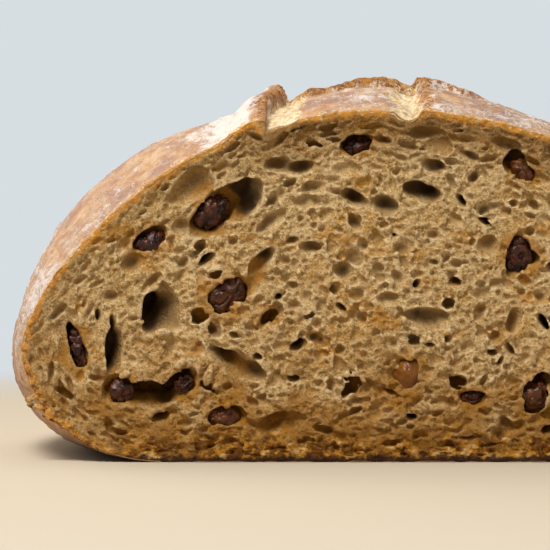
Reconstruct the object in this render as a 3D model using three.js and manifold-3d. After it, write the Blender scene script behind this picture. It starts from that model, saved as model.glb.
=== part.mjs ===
// Raisin loaf: a round hearth loaf with raisins in its crumb, cut straight across in front of its middle.
// Millimetres, +Z up. The loaf stands on its flat base at Z = 0 and the cut face looks along -Y.
import * as THREE from 'three';
import { mergeVertices } from 'three/addons/utils/BufferGeometryUtils.js';
import Module from 'manifold-3d';

// Whole loaf, measured from its own upright axis
const LOAF_RADIUS = 116.5;
const SHOULDER_HEIGHT = 33; // height of the widest part
const CROWN_RISE = 78; // from the widest part up to the top of the dome
const BASE_RADIUS = 82; // flat part that the loaf was baked on
const CROWN_POWER_ACROSS = 1.9; // 2 and 2 would make the dome an ellipse
const CROWN_POWER_UP = 1.5;
const CUT_OFFSET = 49; // from the upright axis forward to the cut face

// Slightly uneven plan of a hand-shaped loaf: size and turn of each wave around the rim
const RIM_WAVES = [
  { count: 2, size: 0.008, turn: 0.6 },
  { count: 3, size: 0.006, turn: 2.1 },
  { count: 5, size: 0.003, turn: 4.0 },
];
const CROWN_SWELL = 0.8; // gentle lumps on the dome

// Scores: three slashes around a lid of crust that lifted in the oven, torn open with a raised lip outside.
// outer is 1 where the lip lies to the left of the slash, seen along it, and -1 where it lies to the right.
const SCORE_WIDTH = 9;
const SCORE_DEPTH = 3;
const LIP_HEIGHT = 3.2;
const LIP_WIDTH = 9;
const LID_LIFT = 1.6;
const SCORES = [
  { from: [-41, -60], to: [-22, -6], outer: 1, lip: 1.1 }, // left of the lid
  { from: [2, -60], to: [-2, -6], outer: -1, lip: 0.8 }, // right of it
  { from: [-33, -14], to: [11, -11], outer: 1, lip: 1.2 }, // behind it
];

// Mesh steps around and down the loaf
const STEPS_AROUND = 76;
const CROWN_RINGS = 25;
const UNDERSIDE_RINGS = 5;
const BASE_RINGS = 1;

// Raisins that show in the cut face: x and z of the middle, then length along the tilt, width across it,
// thickness front to back, tilt in degrees and how far the front lies behind the cut face
const RAISINS = [
  { x: -70, z: 63, length: 11, width: 7.5, thickness: 7, tilt: 25, sunk: 0.6 },
  { x: -52, z: 71.5, length: 13, width: 9, thickness: 8, tilt: 48, sunk: 1.5 },
  { x: -48.5, z: 47, length: 15, width: 9.5, thickness: 8, tilt: 38, sunk: 0.8 },
  { x: -10, z: 90, length: 10, width: 5.5, thickness: 7, tilt: 12, sunk: 2.6 },
  { x: 37, z: 83, length: 8.5, width: 7, thickness: 7, tilt: -30, sunk: 1.4 },
  { x: 36, z: 59, length: 11, width: 8.5, thickness: 7, tilt: 80, sunk: 0.7 },
  { x: -90.5, z: 32, length: 11.5, width: 5.5, thickness: 6, tilt: 105, sunk: 1.0 },
  { x: -78.5, z: 19.5, length: 9.5, width: 7.5, thickness: 7, tilt: 70, sunk: 0.8 },
  { x: -60, z: 22.5, length: 7.5, width: 6, thickness: 6, tilt: 20, sunk: 0.7 },
  { x: -49, z: 12.5, length: 9.5, width: 6.5, thickness: 7, tilt: -8, sunk: 0.7 },
  { x: 4, z: 24.5, length: 10.5, width: 8, thickness: 7.5, tilt: 84, sunk: 0.3 },
  { x: 40.5, z: 18, length: 11.5, width: 9.5, thickness: 8, tilt: 60, sunk: 0.6 },
  { x: 22, z: 18, length: 9.5, width: 4.5, thickness: 6, tilt: 3, sunk: 1.4 },
  { x: 62, z: 67, length: 11, width: 7.5, thickness: 7, tilt: -35, sunk: 1.0 },
  { x: 74, z: 43, length: 10.5, width: 8, thickness: 7, tilt: 75, sunk: 0.8 },
  { x: 58, z: 33, length: 9, width: 6.5, thickness: 6.5, tilt: 15, sunk: 1.6 },
  { x: 91, z: 27, length: 11, width: 6.5, thickness: 6, tilt: 95, sunk: 0.9 },
  { x: 68, z: 12, length: 10, width: 6, thickness: 6, tilt: -5, sunk: 1.1 },
];
const RAISIN_CLEARANCE = 0.4; // air left around a dried raisin in its pocket
const RAISIN_MOUTH = 1.15; // the crumb opens a little wider than the raisin in front of its middle
const MOUTH_OVERSHOOT = 3; // twice the distance that a pocket is drawn past the cut face
const RAISIN_FACETS = 2;

// Larger gas bubbles that the cut face opens: middle, half length along the tilt, half width, depth, tilt
const BUBBLES = [
  { x: -58, z: 79, long: 8.5, wide: 4.4, deep: 3.2, tilt: 40 },
  { x: -44.5, z: 74, long: 7.5, wide: 6, deep: 7, tilt: 40 },
  { x: -68, z: 43, long: 6.4, wide: 4.6, deep: 5, tilt: 60 },
  { x: -45, z: 28, long: 8.6, wide: 4.4, deep: 4.5, tilt: -22 },
  { x: -41, z: 51, long: 7, wide: 3.4, deep: 4.5, tilt: 50 },
  { x: 10, z: 40.5, long: 7.2, wide: 4, deep: 2.6, tilt: 4 },
  { x: 8, z: 77, long: 6.6, wide: 3, deep: 5, tilt: -8 },
  { x: -2.5, z: 72, long: 4, wide: 2.8, deep: 4.4, tilt: -20 },
  { x: -33.5, z: 10.5, long: 8.6, wide: 3.8, deep: 5, tilt: 6 },
  { x: -70.5, z: 20, long: 5, wide: 3.8, deep: 7.5, tilt: 0 },
  { x: -80, z: 31, long: 6.2, wide: 2.7, deep: 5, tilt: 96 },
  { x: 34.5, z: 40.5, long: 4.6, wide: 2.8, deep: 4, tilt: 84 },
  { x: 26, z: 61.5, long: 3.6, wide: 3, deep: 3, tilt: 20 },
  { x: -26, z: 84.5, long: 4.5, wide: 2.1, deep: 3.4, tilt: 8 },
  { x: 21.5, z: 87, long: 4.2, wide: 2, deep: 3.4, tilt: -18 },
  { x: -36.5, z: 67.5, long: 4.6, wide: 2.4, deep: 3.6, tilt: 38 },
  { x: -92, z: 34, long: 7.6, wide: 4.2, deep: 2.6, tilt: 100 },
  { x: 51, z: 76, long: 6.4, wide: 3, deep: 4.2, tilt: -26 },
  { x: 66, z: 55, long: 5.4, wide: 3.6, deep: 4.4, tilt: -50 },
  { x: 84, z: 41, long: 6.6, wide: 3.4, deep: 4, tilt: -62 },
  { x: 60, z: 44, long: 4.2, wide: 3, deep: 3.6, tilt: 20 },
];
const LARGE_BUBBLE = 5; // half length from which a bubble gets finer facets

const CRUST_AND_CRUMB = { color: 0xb88a58, roughness: 0.9, metalness: 0 };
const RAISIN_SKIN = { color: 0x3b1a12, roughness: 0.45, metalness: 0 };

const manifoldLibrary = await Module();
manifoldLibrary.setup();

// --- Solids for cutting ---

function toSolid(geometry) {
  const bare = geometry.clone();
  bare.deleteAttribute('normal');
  bare.deleteAttribute('uv');
  const merged = mergeVertices(bare, 1e-3);
  const index = merged.index.array;
  const triVerts = [];
  for (let i = 0; i < index.length; i += 3) {
    const [a, b, c] = [index[i], index[i + 1], index[i + 2]];
    if (a !== b && b !== c && c !== a) triVerts.push(a, b, c);
  }
  return new manifoldLibrary.Manifold(
    new manifoldLibrary.Mesh({
      numProp: 3,
      vertProperties: new Float32Array(merged.attributes.position.array),
      triVerts: new Uint32Array(triVerts),
    }),
  );
}

function toGeometry(solid) {
  const { vertProperties, triVerts } = solid.getMesh();
  const geometry = new THREE.BufferGeometry();
  geometry.setAttribute('position', new THREE.Float32BufferAttribute(vertProperties, 3));
  geometry.setIndex(Array.from(triVerts));
  geometry.computeVertexNormals();
  return geometry;
}

function named(name, geometry, look) {
  const mesh = new THREE.Mesh(geometry, new THREE.MeshStandardMaterial(look));
  mesh.name = name;
  return mesh;
}

// --- Whole loaf ---

// Distance from a slash, positive on the side of its lip, and how open it is there, 0 beyond its two tips
function acrossScore({ from, to, outer }, x, y) {
  const along = new THREE.Vector2(to[0] - from[0], to[1] - from[1]);
  const length = along.length();
  along.divideScalar(length);
  const offset = new THREE.Vector2(x - from[0], y - from[1]);
  const side = outer * along.cross(offset);
  const place = offset.dot(along) / length;
  const open = place > 0 && place < 1 ? Math.sqrt(Math.sin(Math.PI * place)) : 0;
  return { side, open };
}

// How much the scores raise or lower the dome at x, y
function scoreRelief(x, y) {
  let relief = 0;
  let insideLid = 1;
  for (const score of SCORES) {
    const { side, open } = acrossScore(score, x, y);
    const half = SCORE_WIDTH / 2;
    const trough = Math.max(0, 1 - (side / half) ** 2);
    const lip = Math.exp(-(((side - half - LIP_WIDTH / 3) / (LIP_WIDTH / 2)) ** 2));
    relief += open * (score.lip * LIP_HEIGHT * lip - SCORE_DEPTH * trough);
    insideLid *= THREE.MathUtils.smoothstep(-side, 0, half * 2);
  }
  return relief + LID_LIFT * insideLid;
}

// Point of the crust for a direction around the loaf and a step down it from the top
function crustPoint(around, ring) {
  let rim = 1;
  for (const { count, size, turn } of RIM_WAVES) rim += size * Math.cos(count * around + turn);
  let radius;
  let height;
  let lift = 0;
  if (ring <= CROWN_RINGS) {
    const angle = (Math.PI / 2) * (1 - ring / CROWN_RINGS);
    radius = LOAF_RADIUS * Math.cos(angle) ** (2 / CROWN_POWER_ACROSS);
    height = SHOULDER_HEIGHT + CROWN_RISE * Math.sin(angle) ** (2 / CROWN_POWER_UP);
    lift = Math.sin(angle);
  } else if (ring <= CROWN_RINGS + UNDERSIDE_RINGS) {
    const angle = (Math.PI / 2) * ((ring - CROWN_RINGS) / UNDERSIDE_RINGS);
    radius = BASE_RADIUS + (LOAF_RADIUS - BASE_RADIUS) * Math.cos(angle);
    height = SHOULDER_HEIGHT * (1 - Math.sin(angle));
  } else {
    const inward = (ring - CROWN_RINGS - UNDERSIDE_RINGS) / BASE_RINGS;
    radius = BASE_RADIUS * (1 - inward);
    height = 0;
  }
  const x = radius * rim * Math.cos(around);
  const y = radius * rim * Math.sin(around);
  const swell = CROWN_SWELL * Math.sin(x / 19 + 0.8) * Math.cos(y / 23 - 0.5);
  return new THREE.Vector3(x, y, height + lift * (swell + scoreRelief(x, y)));
}

function wholeLoafGeometry() {
  const rings = CROWN_RINGS + UNDERSIDE_RINGS + BASE_RINGS;
  const geometry = new THREE.SphereGeometry(1, STEPS_AROUND, rings);
  geometry.rotateX(Math.PI / 2);
  const position = geometry.attributes.position;
  const direction = new THREE.Vector3();
  for (let i = 0; i < position.count; i += 1) {
    direction.fromBufferAttribute(position, i);
    const ring = Math.round((rings * Math.acos(THREE.MathUtils.clamp(direction.z, -1, 1))) / Math.PI);
    const point = crustPoint(Math.atan2(direction.y, direction.x), ring);
    position.setXYZ(i, point.x, point.y, point.z);
  }
  return geometry;
}

// --- Raisins and bubbles ---

// Turns a shape that lies along X by its tilt in the plane of the cut face, and moves it to its place
function placed(geometry, { x, z, tilt }, depth) {
  geometry.rotateY(-THREE.MathUtils.degToRad(tilt));
  geometry.translate(x, depth - CUT_OFFSET, z);
  return geometry;
}

// Dried grape: folds run along its length and twist a little; grow adds to every half size
function raisinShape(raisin, order, grow = 0) {
  const geometry = new THREE.IcosahedronGeometry(1, RAISIN_FACETS);
  const position = geometry.attributes.position;
  const point = new THREE.Vector3();
  for (let i = 0; i < position.count; i += 1) {
    point.fromBufferAttribute(position, i);
    const turn = Math.atan2(point.z, point.y);
    const fold = Math.cos(5 * turn + 2.2 * point.x + order) * (1 - point.x ** 2);
    const dent = Math.sin(2 * turn - 1.5 * point.x + 2 * order);
    point.multiplyScalar(1 + 0.07 * fold + 0.05 * dent);
    position.setXYZ(i, point.x, point.y, point.z);
  }
  return geometry.scale(raisin.length / 2 + grow, raisin.thickness / 2 + grow, raisin.width / 2 + grow);
}

function raisinGeometry(raisin, order) {
  return placed(raisinShape(raisin, order), raisin, raisin.sunk + raisin.thickness / 2);
}

// Hole in the crumb that holds a raisin: the raisin's shape with clearance, drawn out past the cut face
function pocketGeometry(raisin, order) {
  const geometry = raisinShape(raisin, order, RAISIN_CLEARANCE);
  const position = geometry.attributes.position;
  const drawnOut = 1 + (2 * raisin.sunk + MOUTH_OVERSHOOT) / raisin.thickness;
  for (let i = 0; i < position.count; i += 1) {
    if (position.getY(i) < 0) {
      position.setX(i, position.getX(i) * RAISIN_MOUTH);
      position.setY(i, position.getY(i) * drawnOut);
      position.setZ(i, position.getZ(i) * RAISIN_MOUTH);
    }
  }
  return placed(geometry, raisin, raisin.sunk + raisin.thickness / 2);
}

function bubbleGeometry(bubble) {
  const geometry = new THREE.IcosahedronGeometry(1, bubble.long > LARGE_BUBBLE ? 2 : 1);
  geometry.scale(bubble.long, bubble.deep, bubble.wide);
  return placed(geometry, bubble, 0);
}

// --- Assembly ---

function cutAwayFront() {
  const size = 4 * LOAF_RADIUS;
  const block = new THREE.BoxGeometry(size, size, size);
  block.translate(0, -CUT_OFFSET - size / 2, 0);
  return toSolid(block);
}

function loafSolid() {
  let loaf = toSolid(wholeLoafGeometry()).subtract(cutAwayFront());
  for (const bubble of BUBBLES) loaf = loaf.subtract(toSolid(bubbleGeometry(bubble)));
  RAISINS.forEach((raisin, order) => {
    loaf = loaf.subtract(toSolid(pocketGeometry(raisin, order)));
  });
  return loaf;
}

const raisinLoaf = new THREE.Group();
raisinLoaf.add(named('loaf', toGeometry(loafSolid()), CRUST_AND_CRUMB));
RAISINS.forEach((raisin, order) => {
  raisinLoaf.add(named(`raisin_${order + 1}`, raisinGeometry(raisin, order), RAISIN_SKIN));
});

// The origin is under the middle of the whole piece, at the height of its base
const extent = new THREE.Box3().setFromObject(raisinLoaf);
const middle = extent.getCenter(new THREE.Vector3());
raisinLoaf.position.set(-middle.x, -middle.y, -extent.min.z);

export default raisinLoaf;
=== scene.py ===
"""Raisin loaf, cut across: its floured crust, open crumb, raisins and loose crumbs, laid out as an add-on."""
from functools import lru_cache

import bpy
import numpy as np
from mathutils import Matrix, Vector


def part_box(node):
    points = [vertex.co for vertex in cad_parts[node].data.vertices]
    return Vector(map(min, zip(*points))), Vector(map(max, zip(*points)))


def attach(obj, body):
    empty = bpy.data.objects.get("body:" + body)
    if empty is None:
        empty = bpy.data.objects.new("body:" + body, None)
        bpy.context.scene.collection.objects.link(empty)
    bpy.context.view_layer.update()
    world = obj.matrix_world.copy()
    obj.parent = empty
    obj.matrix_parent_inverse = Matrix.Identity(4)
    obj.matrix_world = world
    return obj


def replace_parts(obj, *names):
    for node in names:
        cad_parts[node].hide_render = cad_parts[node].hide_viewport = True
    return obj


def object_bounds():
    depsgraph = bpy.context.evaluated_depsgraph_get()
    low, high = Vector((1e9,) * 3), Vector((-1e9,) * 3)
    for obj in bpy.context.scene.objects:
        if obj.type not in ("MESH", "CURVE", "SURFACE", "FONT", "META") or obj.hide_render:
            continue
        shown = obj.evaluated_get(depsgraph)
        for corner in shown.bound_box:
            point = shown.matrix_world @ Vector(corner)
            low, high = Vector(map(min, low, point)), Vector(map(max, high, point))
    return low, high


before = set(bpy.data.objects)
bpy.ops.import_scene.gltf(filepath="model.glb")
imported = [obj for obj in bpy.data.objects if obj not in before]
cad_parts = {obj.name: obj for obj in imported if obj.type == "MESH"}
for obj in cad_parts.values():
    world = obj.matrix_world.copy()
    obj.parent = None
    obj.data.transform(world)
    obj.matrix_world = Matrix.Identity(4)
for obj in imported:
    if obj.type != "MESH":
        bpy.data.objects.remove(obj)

import openvdb
from bpy.props import FloatProperty, FloatVectorProperty, IntProperty, PointerProperty
from mathutils import Vector

bl_info = {
    "name": "Raisin Loaf",
    "version": (1, 0, 0),
    "blender": (4, 5, 0),
    "location": "View3D > Sidebar > Raisin Loaf",
    "description": "Builds a cut raisin loaf: crust, crumb, raisins and crumbs around its packed model",
    "category": "Object",
}

MM = 0.001
CAD_BOX = [list(corner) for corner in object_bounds()]

# The whole loaf about its own upright axis, in millimetres, as it was shaped before it was cut
LOAF_RADIUS = 116.5
SHOULDER = 33.0  # height of the widest part
CROWN = 78.0  # from there up to the top of the dome
BASE_RADIUS = 82.0  # flat part that it was baked on
POWER_ACROSS = 1.9
POWER_UP = 1.5
CUT = 49.0  # cut face in front of the axis
RIM_WAVES = ((2, 0.008, 0.6), (3, 0.006, 2.1), (5, 0.003, 4.0))  # count, size and turn
SWELL = 0.8
PRESSED_FLAT = (0.3, 6.0)  # the oven floor kept the skin smooth up to these heights
SLASHED = (50.0, 85.0)  # slashes open up between these heights
HALVINGS = 24  # of a ray's length when it is searched for the skin

# How the dough slumped, around the loaf's back-to-front line: size, centre and spread in degrees
SHOULDER_RISE = (4.4, 147.0, 20.0)
SIDE_DRAWN = (-2.9, 179.0, 11.0)
SLUMP_START = 32.0  # it is full from this far behind the cut
SLUMP_END = (20.0, 80.0)  # and fades out towards the back

# Slashes around the lifted lid and behind it: start, end, side of the lip, its share of the full
# height, and width
SCORES = (
    ((-36.0, -94.0), (-24.5, 44.0), 1, 1.6, 12.5),
    ((1.0, -96.0), (6.5, 40.0), -1, 0.15, 11.0),
    ((-41.0, -6.0), (30.0, -15.0), 1, 0.95, 7.5),
    ((-54.0, 21.0), (27.0, 25.0), -1, 0.8, 9.0),
)
LID_LIFT = 1.6
LIP_RUN = 8.0  # a lip falls back to the crust over about this
LIP_LEAN = 1.7  # and hangs over the slash by this

SKIN_COLUMNS = 700  # points around the cut edge
SKIN_ROWS = 215  # from the back of the loaf to the cut edge
FRONT_CROWDING = 1.35  # rows lie closer together towards the cut
BASE_SPACING = 2.2  # columns lie this much farther apart under the loaf
RECESS_DEPTH = 13.0  # the crumb slab fills the crust's front to this depth
RECESS_RINGS = ((0.7, 0.6), (1.4, 3.0), (2.4, RECESS_DEPTH))  # how far in from the skin, and back
SLAB_DEPTH = 14.0
SLAB_BACK = SLAB_DEPTH - 1.5  # the crumb ends here, inside its block
NEAR_ROWS = 60  # rows of the skin that reach well behind the slab
PLATE = 11.0  # the crumb stays whole from this depth on
POCKET_GAP = 0.35  # the crumb closes in this far on a packed bubble
RAISIN_GRIP = 1.3  # and this far on a raisin
FLAT_BUBBLES = 28.0  # bubbles lie flat along the crust up to this depth under it
BUBBLE_RAISED = -0.5  # how deep they lie at least, as a share of their radius
SMALL_PREVAIL = 1.7  # above 1 there are more small bubbles than large ones in each range
BUBBLE_RADII = ((1.7, 3.4), (0.95, 1.8), (0.6, 1.0), (0.4, 0.62))  # from large bubbles to pores
BUBBLES_BURIED = (1.2, 0.7, 0.3, 0.2)  # how deep they lie at most, as a share of their radius
# Gaps under the crust at the cut face: place, half length, half thickness and tilt in degrees
LIFTED_CRUST = (
    (12.0, 102.0, 4.5, 1.3, -4.0),
    (24.5, 101.0, 6.5, 1.4, -16.0),
)
# Hollows that open at the cut face: place, half length, half thickness, depth and tilt in degrees
HOLLOWS = (
    (-92.0, 32.5, 9.5, 4.3, 1.8, 100), (-57.6, 79.0, 6.6, 4.2, 2.9, 40),
    (-48.3, 72.3, 12.3, 4.5, 6.0, 36), (-42.0, 76.0, 4.4, 3.6, 4.8, 40),
    (-70.1, 63.2, 5.3, 2.7, 6.0, 35), (-74.8, 56.6, 4.2, 2.5, 3.0, 25), (-61.0, 66.4, 2.8, 3.2, 3.0, 0),
    (-53.2, 57.9, 2.8, 1.2, 4.5, 38), (-35.4, 68.3, 4.9, 2.2, 3.2, 42), (-24.6, 60.8, 2.7, 1.9, 3.2, 0),
    (-69.4, 51.2, 3.9, 1.5, 3.0, 45), (-61.0, 52.7, 3.4, 1.6, 2.5, 50), (-34.0, 84.6, 3.5, 2.2, 4.0, 5),
    (-26.2, 84.1, 4.2, 1.8, 4.0, 12), (-22.7, 78.2, 3.8, 1.6, 2.4, 10), (-25.0, 74.0, 3.2, 1.7, 2.4, 10),
    (-81.6, 46.8, 1.9, 1.9, 2.5, 0), (-37.2, 57.6, 5.2, 2.2, 5.0, 48), (-28.6, 44.4, 1.8, 1.6, 2.0, 0),
    (-65.9, 43.4, 7.0, 5.2, 5.5, 62), (-68.8, 44.5, 4.2, 2.2, 9.0, 70), (-80.2, 31.8, 5.8, 2.3, 7.0, 87),
    (-80.2, 40.0, 2.5, 0.8, 5.0, 100), (-90.5, 33.3, 6.4, 2.3, 7.0, 105), (-70.4, 19.2, 9.5, 3.4, 11.0, 1),
    (-61.3, 22.6, 4.8, 3.2, 9.0, 28), (-79.0, 19.8, 4.4, 4.2, 5.0, 0), (-66.7, 12.1, 2.5, 1.4, 5.0, 12),
    (-47.8, 12.8, 5.4, 2.9, 4.0, -6), (-33.0, 10.8, 7.4, 2.8, 4.2, 12), (-45.8, 28.2, 9.2, 2.5, 4.5, -28),
    (-27.7, 32.9, 2.5, 1.6, 6.0, 35), (-39.4, 29.7, 1.5, 0.9, 4.0, -20), (-29.1, 23.1, 1.6, 0.9, 4.0, -10),
    (-46.3, 35.9, 1.6, 1.0, 3.0, -30), (-84.3, 42.2, 1.8, 0.8, 4.0, 95), (-11.2, 90.3, 4.9, 2.3, 8.0, 15),
    (-3.4, 91.4, 2.7, 1.3, 3.0, -5), (9.6, 93.7, 4.4, 1.6, 3.0, 0), (12.8, 89.9, 3.9, 2.2, 2.2, 0),
    (21.2, 87.3, 4.2, 1.4, 4.0, -24), (32.0, 90.1, 4.8, 1.8, 2.6, -20), (34.6, 85.6, 3.6, 3.0, 7.0, 20),
    (-13.6, 83.3, 4.4, 2.2, 2.2, 0), (11.6, 84.1, 4.4, 1.8, 3.6, -20), (8.0, 76.9, 6.4, 2.6, 5.0, -10),
    (-11.8, 74.6, 3.8, 2.2, 4.5, -20), (-2.4, 72.6, 4.0, 2.8, 4.6, -20), (18.6, 74.7, 1.8, 0.8, 4.0, -58),
    (17.3, 69.2, 2.6, 1.5, 2.0, -30), (0.0, 64.2, 1.0, 0.8, 6.0, 0), (25.5, 68.2, 1.8, 0.7, 5.0, -35),
    (26.0, 61.1, 3.3, 3.1, 2.8, 0), (35.0, 59.5, 6.0, 2.2, 6.5, 84), (38.6, 57.8, 3.4, 2.4, 6.0, -12),
    (11.1, 56.5, 2.2, 1.0, 3.0, -12), (6.8, 50.8, 1.4, 1.1, 4.5, 80), (17.6, 50.8, 1.5, 1.3, 4.5, 0),
    (9.6, 40.7, 6.0, 3.3, 3.6, -5), (34.6, 41.0, 3.7, 2.3, 4.0, 84), (42.3, 39.5, 3.0, 1.3, 6.5, -58),
    (-19.6, 70.1, 2.8, 1.7, 2.0, 30), (-16.8, 49.7, 2.0, 1.5, 3.0, 90), (-29.2, 49.7, 1.5, 1.2, 2.5, 0),
    (-15.6, 44.0, 1.8, 1.0, 4.5, -40), (-33.1, 46.6, 0.9, 0.8, 5.0, 0), (-2.0, 46.4, 3.0, 1.6, 2.4, 8),
    (-29.2, 63.0, 2.0, 1.1, 3.0, 20), (15.5, 35.0, 1.4, 1.1, 3.2, 75), (10.2, 33.1, 1.5, 0.8, 4.2, 0),
    (27.8, 30.6, 1.4, 0.9, 4.0, 0), (30.6, 28.6, 1.3, 0.8, 5.5, 65), (32.8, 31.9, 1.8, 0.9, 3.0, -62),
    (-1.2, 19.5, 2.5, 0.8, 4.2, -20), (22.3, 18.0, 4.6, 2.1, 5.0, 0), (4.6, 12.4, 1.9, 1.3, 6.0, -8),
    (41.8, 21.6, 4.6, 2.6, 8.0, 25), (43.9, 8.8, 2.0, 1.4, 6.5, 20), (21.0, 6.6, 2.2, 0.5, 3.5, 4),
)
# Flakes of crust that stand off the cut edge, and crumbs: place, half length, half thickness and tilt
FLAKES = (
    (-103.2, 18.4, 2.6, 0.7, 25), (-101.6, 15.6, 3.6, 0.8, -12), (-98.0, 14.2, 3.0, 1.0, 20),
    (-96.2, 11.8, 4.0, 0.8, -18), (-92.8, 10.4, 2.6, 1.0, 10), (-89.6, 8.6, 3.0, 0.8, -28),
    (-79.4, 69.6, 1.3, 1.0, 80),
    (-60.8, 84.8, 1.9, 0.7, 35), (-37.6, 94.2, 1.7, 0.8, 70),
    (-61.2, 28.0, 2.2, 1.2, 40), (-53.2, 24.2, 2.6, 1.3, 75),
    (-66.4, 36.8, 2.4, 1.4, 10), (-50.8, 21.4, 1.3, 1.0, 0), (-77.0, 24.8, 1.8, 1.0, 20),
)
# Stained patches of crumb without a raisin: place and radius
STAINS = ((-5.5, 41.0, 6.0), (-37.0, 41.0, 7.0), (35.0, 16.5, 4.5), (-58.0, 33.0, 5.0), (-39.0, 55.0, 5.5))
RAISIN_SMOOTHING = 3  # how often each face is split in four
RAISIN_SET_BACK = 0.3  # raisins stay this far behind the cut face's box
# Raisins that dried paler than the rest, from 0 to 1
AMBER = {"raisin_3": 0.15, "raisin_5": 0.3, "raisin_10": 0.3, "raisin_11": 1.0, "raisin_12": 0.2,
         "raisin_15": 0.5}
RAISINS = sorted((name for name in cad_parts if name.startswith("raisin_")),
                 key=lambda name: int(name.split("_")[1]))

# Floor, camera and lights, in metres: where each light hangs, its size and its share of the key light
FLOOR_RADIUS = 2.5
FLOOR_CORNERS = 96
FLOOR_LEVEL = -0.0001  # just under the loaf
CAMERA_X = -0.0336
CAMERA_Z = 0.0533
VIEW_WIDTH = 0.15675  # seen at the cut face
FILM_WIDTH = 36.0
LIGHTS_AIM = (0.0, -0.02, 0.05)
LIGHTS = {
    "key": ((-0.35, -0.62, 0.98), 0.42, 1.0),
    "top": ((-0.1, 0.25, 1.1), 0.8, 0.28),
    "side": ((1.0, -0.9, 0.4), 0.9, 0.12),
    "back": ((-1.0, 0.7, 0.6), 0.9, 0.5),
}


# --- Boxes, noise and small sums ---

NOISE_CELLS = 32
NOISE_BLOCK = np.random.default_rng(11).random((NOISE_CELLS,) * 3).astype(np.float32)


def box_of(name):
    """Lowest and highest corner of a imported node, in millimetres."""
    return [np.array(corner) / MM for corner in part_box(name)]


def eased(part):
    """Starts and ends gently between 0 and 1."""
    return part * part * (3.0 - 2.0 * part)


def ramp(value, low, high):
    """0 below low, 1 above high and a smooth rise between."""
    return eased(np.clip((value - low) / (high - low), 0.0, 1.0))


def read(items, key, size=3, kind=np.float32):
    """One number or vector of every vertex, corner or face of a mesh."""
    values = np.zeros(len(items) * size, kind)
    items.foreach_get(key, values)
    return values.reshape(-1, size) if size > 1 else values


def along_axis(values, axis):
    """Turns a row of values so that it runs along one axis of a block."""
    return values.reshape([-1 if other == axis else 1 for other in range(3)])


def drawn_out(block, axis, place, smooth=False):
    """A block's values at these places along one of its axes, in steps of the block."""
    low = place.astype(int)
    part = place - low
    part = along_axis(eased(part) if smooth else part, axis)
    return block.take(low, axis) * (1.0 - part) + block.take(low + 1, axis) * part


def noise(points, grain, shift=0.0):
    """Smooth noise from -1 to 1 at points in millimetres, with lumps about as wide as grain."""
    place = points / grain + shift
    cell = np.floor(place).astype(np.int64)
    part = eased(place - cell)
    value = np.zeros(len(points))
    for corner in np.ndindex(2, 2, 2):
        weight = np.where(corner, part, 1.0 - part).prod(axis=1)
        at = (cell + corner) % NOISE_CELLS
        value += weight * NOISE_BLOCK[at[:, 0], at[:, 1], at[:, 2]]
    return 2.0 * value - 1.0


def noise_volume(shape, step, grain, rng):
    """The same kind of noise on a regular block of points step apart."""
    values = rng.uniform(-1.0, 1.0, [int(count * step / np.min(grain)) + 3 for count in shape])
    for axis, count in enumerate(shape):
        values = drawn_out(values, axis, np.arange(count) * step / grain[axis], smooth=True)
    return values.astype(np.float32)


# --- Shape of the whole loaf ---

def rim(around):
    """Uneven plan of a hand-shaped loaf, as a share of its radius."""
    return 1.0 + sum(size * np.cos(count * around + turn) for count, size, turn in RIM_WAVES)


def outside_loaf(x, y, z):
    """Whether points lie outside the smooth loaf, before scores and fine relief."""
    radius = np.hypot(x, y) / rim(np.arctan2(y, x))
    share = 1.0 - np.minimum(radius / LOAF_RADIUS, 1.0) ** POWER_ACROSS
    swell = SWELL * np.sin(x / 19.0 + 0.8) * np.cos(y / 23.0 - 0.5)
    crown = SHOULDER + CROWN * share ** (1.0 / POWER_UP) + swell * np.sqrt(share)
    drop = np.clip((SHOULDER - z) / SHOULDER, 0.0, 1.0)
    side = BASE_RADIUS + (LOAF_RADIUS - BASE_RADIUS) * np.sqrt(1.0 - drop * drop)
    above = (z > crown) | (radius > LOAF_RADIUS)
    below = (z < 0.0) | (radius > side)
    return np.where(z > SHOULDER, above, below)


def reach(start, direction):
    """How far each ray from inside the loaf runs before it leaves it."""
    near = np.zeros(direction.shape[:-1])
    far = np.full(direction.shape[:-1], 1.6 * LOAF_RADIUS)
    for _ in range(HALVINGS):
        middle = 0.5 * (near + far)
        x, y, z = (start[a] + direction[..., a] * middle for a in range(3))
        out = outside_loaf(x, y, z)
        far = np.where(out, middle, far)
        near = np.where(out, near, middle)
    return 0.5 * (near + far)


def cut_reach(turn):
    """How far the cut face runs from its middle in these directions."""
    direction = np.stack((np.cos(turn), np.zeros_like(turn), np.sin(turn)), -1)
    return reach((0.0, -CUT, SHOULDER), direction)


def across_score(score, x, y):
    """Distance from a slash, positive on its lip's side, how open it is there and where the lip leans."""
    start, end, outer = score[:3]
    along = np.subtract(end, start)
    length = np.hypot(*along)
    along = along / length
    dx, dy = x - start[0], y - start[1]
    side = outer * (along[0] * dy - along[1] * dx)
    place = (dx * along[0] + dy * along[1]) / length
    opened = np.sqrt(np.sin(np.pi * np.clip(place, 0.0, 1.0)))
    lean = outer * np.array((along[1], -along[0]))
    return side, opened, lean


@lru_cache(maxsize=1)
def skin_frame():
    """Where the loaf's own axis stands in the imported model, in millimetres."""
    around = np.linspace(0.0, 2.0 * np.pi, 721)
    widest = LOAF_RADIUS * rim(around) * np.cos(around)
    return np.array((-0.5 * (widest.max() + widest.min()), box_of("loaf")[0][1] + CUT, 0.0))


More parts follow.
